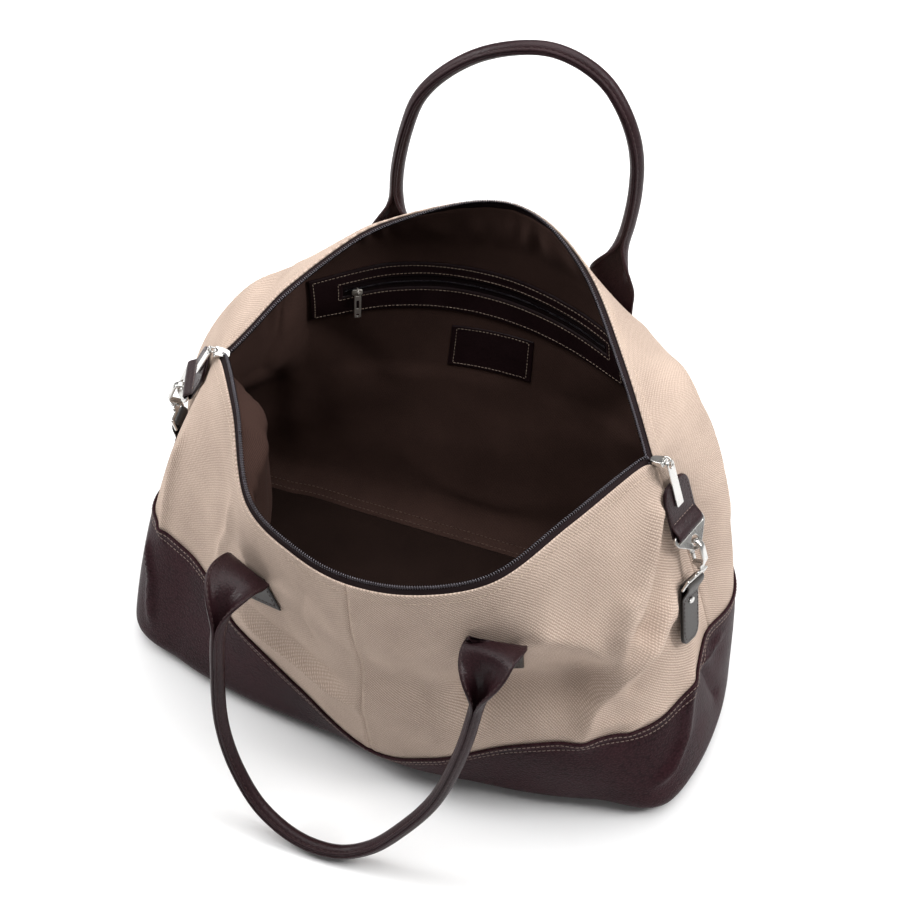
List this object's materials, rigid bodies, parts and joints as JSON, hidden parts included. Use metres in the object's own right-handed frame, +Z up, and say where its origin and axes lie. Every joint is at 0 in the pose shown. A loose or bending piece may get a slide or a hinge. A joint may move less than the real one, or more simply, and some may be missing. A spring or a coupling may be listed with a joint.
{
  "type": "canvas duffle bag",
  "caption": "Open canvas and leather weekender bag with a wide zipped mouth, rolled leather handles, a leather base, end hooks on strap tabs and a lined inside with a zip pocket.",
  "frame": {"origin": "middle of the flat base, on the floor", "axes": "+X along the bag toward its right end as seen from the front, -Y toward the front with the fallen handle, +Z up"},
  "size_m": [0.5515, 0.4995, 0.5167],
  "materials": {
    "leather": "pebbled, satin, aubergine brown",
    "canvas": "matt cotton twill, sand",
    "lining": "matt woven lining, dark brown",
    "zip_tape": "ribbed woven tape",
    "zip_coil": "dark coil with a metallic sheen",
    "steel": "polished plate on cast fittings"
  },
  "bodies": {
    "bag": {"leather_base": "leather", "canvas_front_left": "canvas", "canvas_front_right": "canvas", "canvas_back_left": "canvas", "canvas_back_right": "canvas", "lining_front": "lining", "lining_back": "lining", "lining_bottom": "lining", "zip_tape_front": "zip_tape", "zip_tape_back": "zip_tape", "zip_coil_front": "zip_coil", "zip_coil_back": "zip_coil", "slider_left": "steel", "slider_right": "steel", "end_tab_left": "leather", "end_tab_right": "leather", "triangle_ring_left": "steel", "triangle_ring_right": "steel", "hook_left": "steel", "hook_right": "steel", "hook_loop_left": "steel", "hook_loop_right": "steel", "chape_left": "leather", "chape_right": "leather", "rivet_left": "steel", "rivet_right": "steel", "handle_front": "leather", "handle_back": "leather", "handle_patch_front_left": "leather", "handle_patch_front_right": "leather", "handle_patch_back_left": "leather", "handle_patch_back_right": "leather", "pocket_frame": "leather", "pocket_zip_tape": "zip_tape", "pocket_zip_coil": "zip_coil", "pocket_slider": "steel", "label_patch": "leather"},
    "left_zip_puller": {"puller_left": "steel"},
    "right_zip_puller": {"puller_right": "steel"},
    "pocket_zip_puller": {"pocket_puller": "steel"},
    "left_hook_gate": {"gate_left": "steel"},
    "right_hook_gate": {"gate_right": "steel"}
  },
  "joints": [
    {"name": "left_puller_swing", "type": "hinge", "parent": "bag", "child": "left_zip_puller", "pos_m": [-0.20104, -0.00367, 0.30161], "axis": [-0.2721, 0.9182, 0.2879], "range_deg": [0, 140]},
    {"name": "right_puller_swing", "type": "hinge", "parent": "bag", "child": "right_zip_puller", "pos_m": [0.19827, -0.00179, 0.32278], "axis": [-0.2762, -0.9601, 0.044], "range_deg": [0, 140]},
    {"name": "pocket_puller_swing", "type": "hinge", "parent": "bag", "child": "pocket_zip_puller", "pos_m": [-0.14036, 0.1618, 0.24219], "axis": [-0.8439, -0.5352, 0.0383], "range_deg": [0, 90]},
    {"name": "left_gate_swing", "type": "hinge", "parent": "bag", "child": "left_hook_gate", "pos_m": [-0.24899, 0.00915, 0.20621], "axis": [0.3711, -0.9258, -0.0725], "range_deg": [0, 30], "stiffness_Nm_per_rad": 0.005, "springref_deg": -11.46},
    {"name": "right_gate_swing", "type": "hinge", "parent": "bag", "child": "right_hook_gate", "pos_m": [0.23442, -0.01653, 0.23042], "axis": [0.3249, 0.9274, -0.1856], "range_deg": [0, 30], "stiffness_Nm_per_rad": 0.005, "springref_deg": -11.46}
  ]
}
